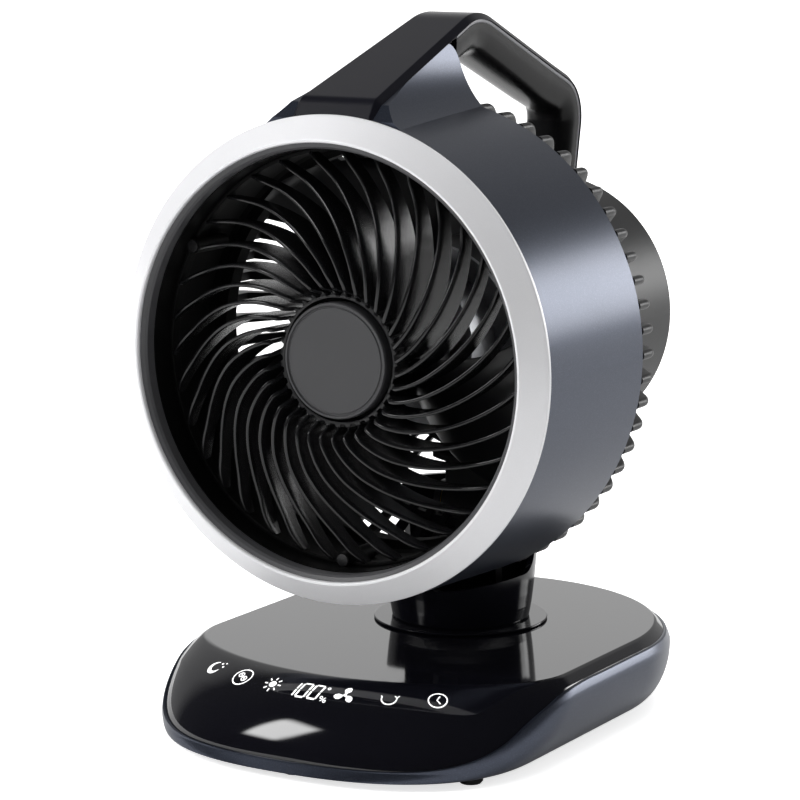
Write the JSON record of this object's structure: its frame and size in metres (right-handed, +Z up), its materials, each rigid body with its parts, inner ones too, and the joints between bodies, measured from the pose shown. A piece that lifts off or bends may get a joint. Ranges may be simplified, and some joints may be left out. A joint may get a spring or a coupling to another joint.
{
  "type": "camping fan",
  "caption": "Portable tabletop fan: a round drum head with a spiral-vane grille and a carry handle tilts on a short neck that turns on a wedge-fronted battery base.",
  "frame": {"origin": "middle of the overall bounding box, on the surface that the rubber feet stand on", "axes": "+Z up, -Y the way the fan blows, +X to the right as seen by someone facing the grille"},
  "size_m": [0.1958, 0.2304, 0.2857],
  "materials": {
    "gunmetal_paint": "satin metallic paint",
    "piano_black": "high gloss",
    "satin_black": "fine satin",
    "satin_silver": "satin metallic paint",
    "grey_trim": "satin",
    "rubber": "matt",
    "steel": "plain",
    "cell_can": "plain",
    "aluminium": "cast",
    "brass": "plain",
    "acetal": "plain",
    "circuit_board": "solder mask"
  },
  "bodies": {
    "base": {"base_shell": "gunmetal_paint", "base_cover": "piano_black", "rubber_feet": "rubber", "base_screws": "steel", "battery_cells": "cell_can", "battery_cradle": "satin_black", "control_board": "circuit_board", "touch_board": "circuit_board", "display_block": "satin_black", "charge_port": "steel", "pan_motor": "cell_can", "pan_bush": "acetal"},
    "pinion": {"pan_pinion": "acetal"},
    "turntable": {"turntable": "piano_black", "pan_gear": "acetal", "pan_gear_screws": "steel", "neck_shell": "piano_black", "tilt_fork": "aluminium", "tilt_pin": "steel", "tilt_washers": "brass"},
    "head": {"tilt_knuckle": "satin_black", "drum_shell": "gunmetal_paint", "front_bezel": "satin_silver", "inner_ring": "grey_trim", "front_grille": "satin_black", "medallion": "grey_trim", "grille_screws": "steel", "air_duct": "satin_black", "rear_grille": "satin_black", "motor_housing": "satin_black", "handle_grip": "satin_black", "handle_trim": "grey_trim", "handle_strip": "satin_black", "motor_case": "cell_can", "motor_screws": "steel", "motor_stator": "brass", "motor_bearings": "steel", "motor_board": "circuit_board", "housing_screws": "steel"},
    "rotor": {"impeller": "satin_black", "motor_shaft": "steel", "motor_rotor": "steel", "impeller_nut": "satin_black"}
  },
  "joints": [
    {"name": "pan", "type": "hinge", "parent": "base", "child": "turntable", "pos_m": [0, 0.02775, 0.034], "axis": [0, 0, 1], "range_deg": [-45, 45]},
    {"name": "pan_motor_spin", "type": "hinge", "parent": "base", "child": "pinion", "pos_m": [0, 0.06375, 0.02], "axis": [0, 0, 1], "range_deg": [-230, 230]},
    {"name": "tilt", "type": "hinge", "parent": "turntable", "child": "head", "pos_m": [0, 0.04175, 0.08], "axis": [-1, 0, 0], "range_deg": [-6, 35]},
    {"name": "fan_spin", "type": "hinge", "parent": "head", "child": "rotor", "pos_m": [0, 0, 0.156], "axis": [0, -1, 0], "continuous": true}
  ],
  "couplings": [
    {"joint": "pan_motor_spin", "follows": "pan", "ratio": -5}
  ]
}
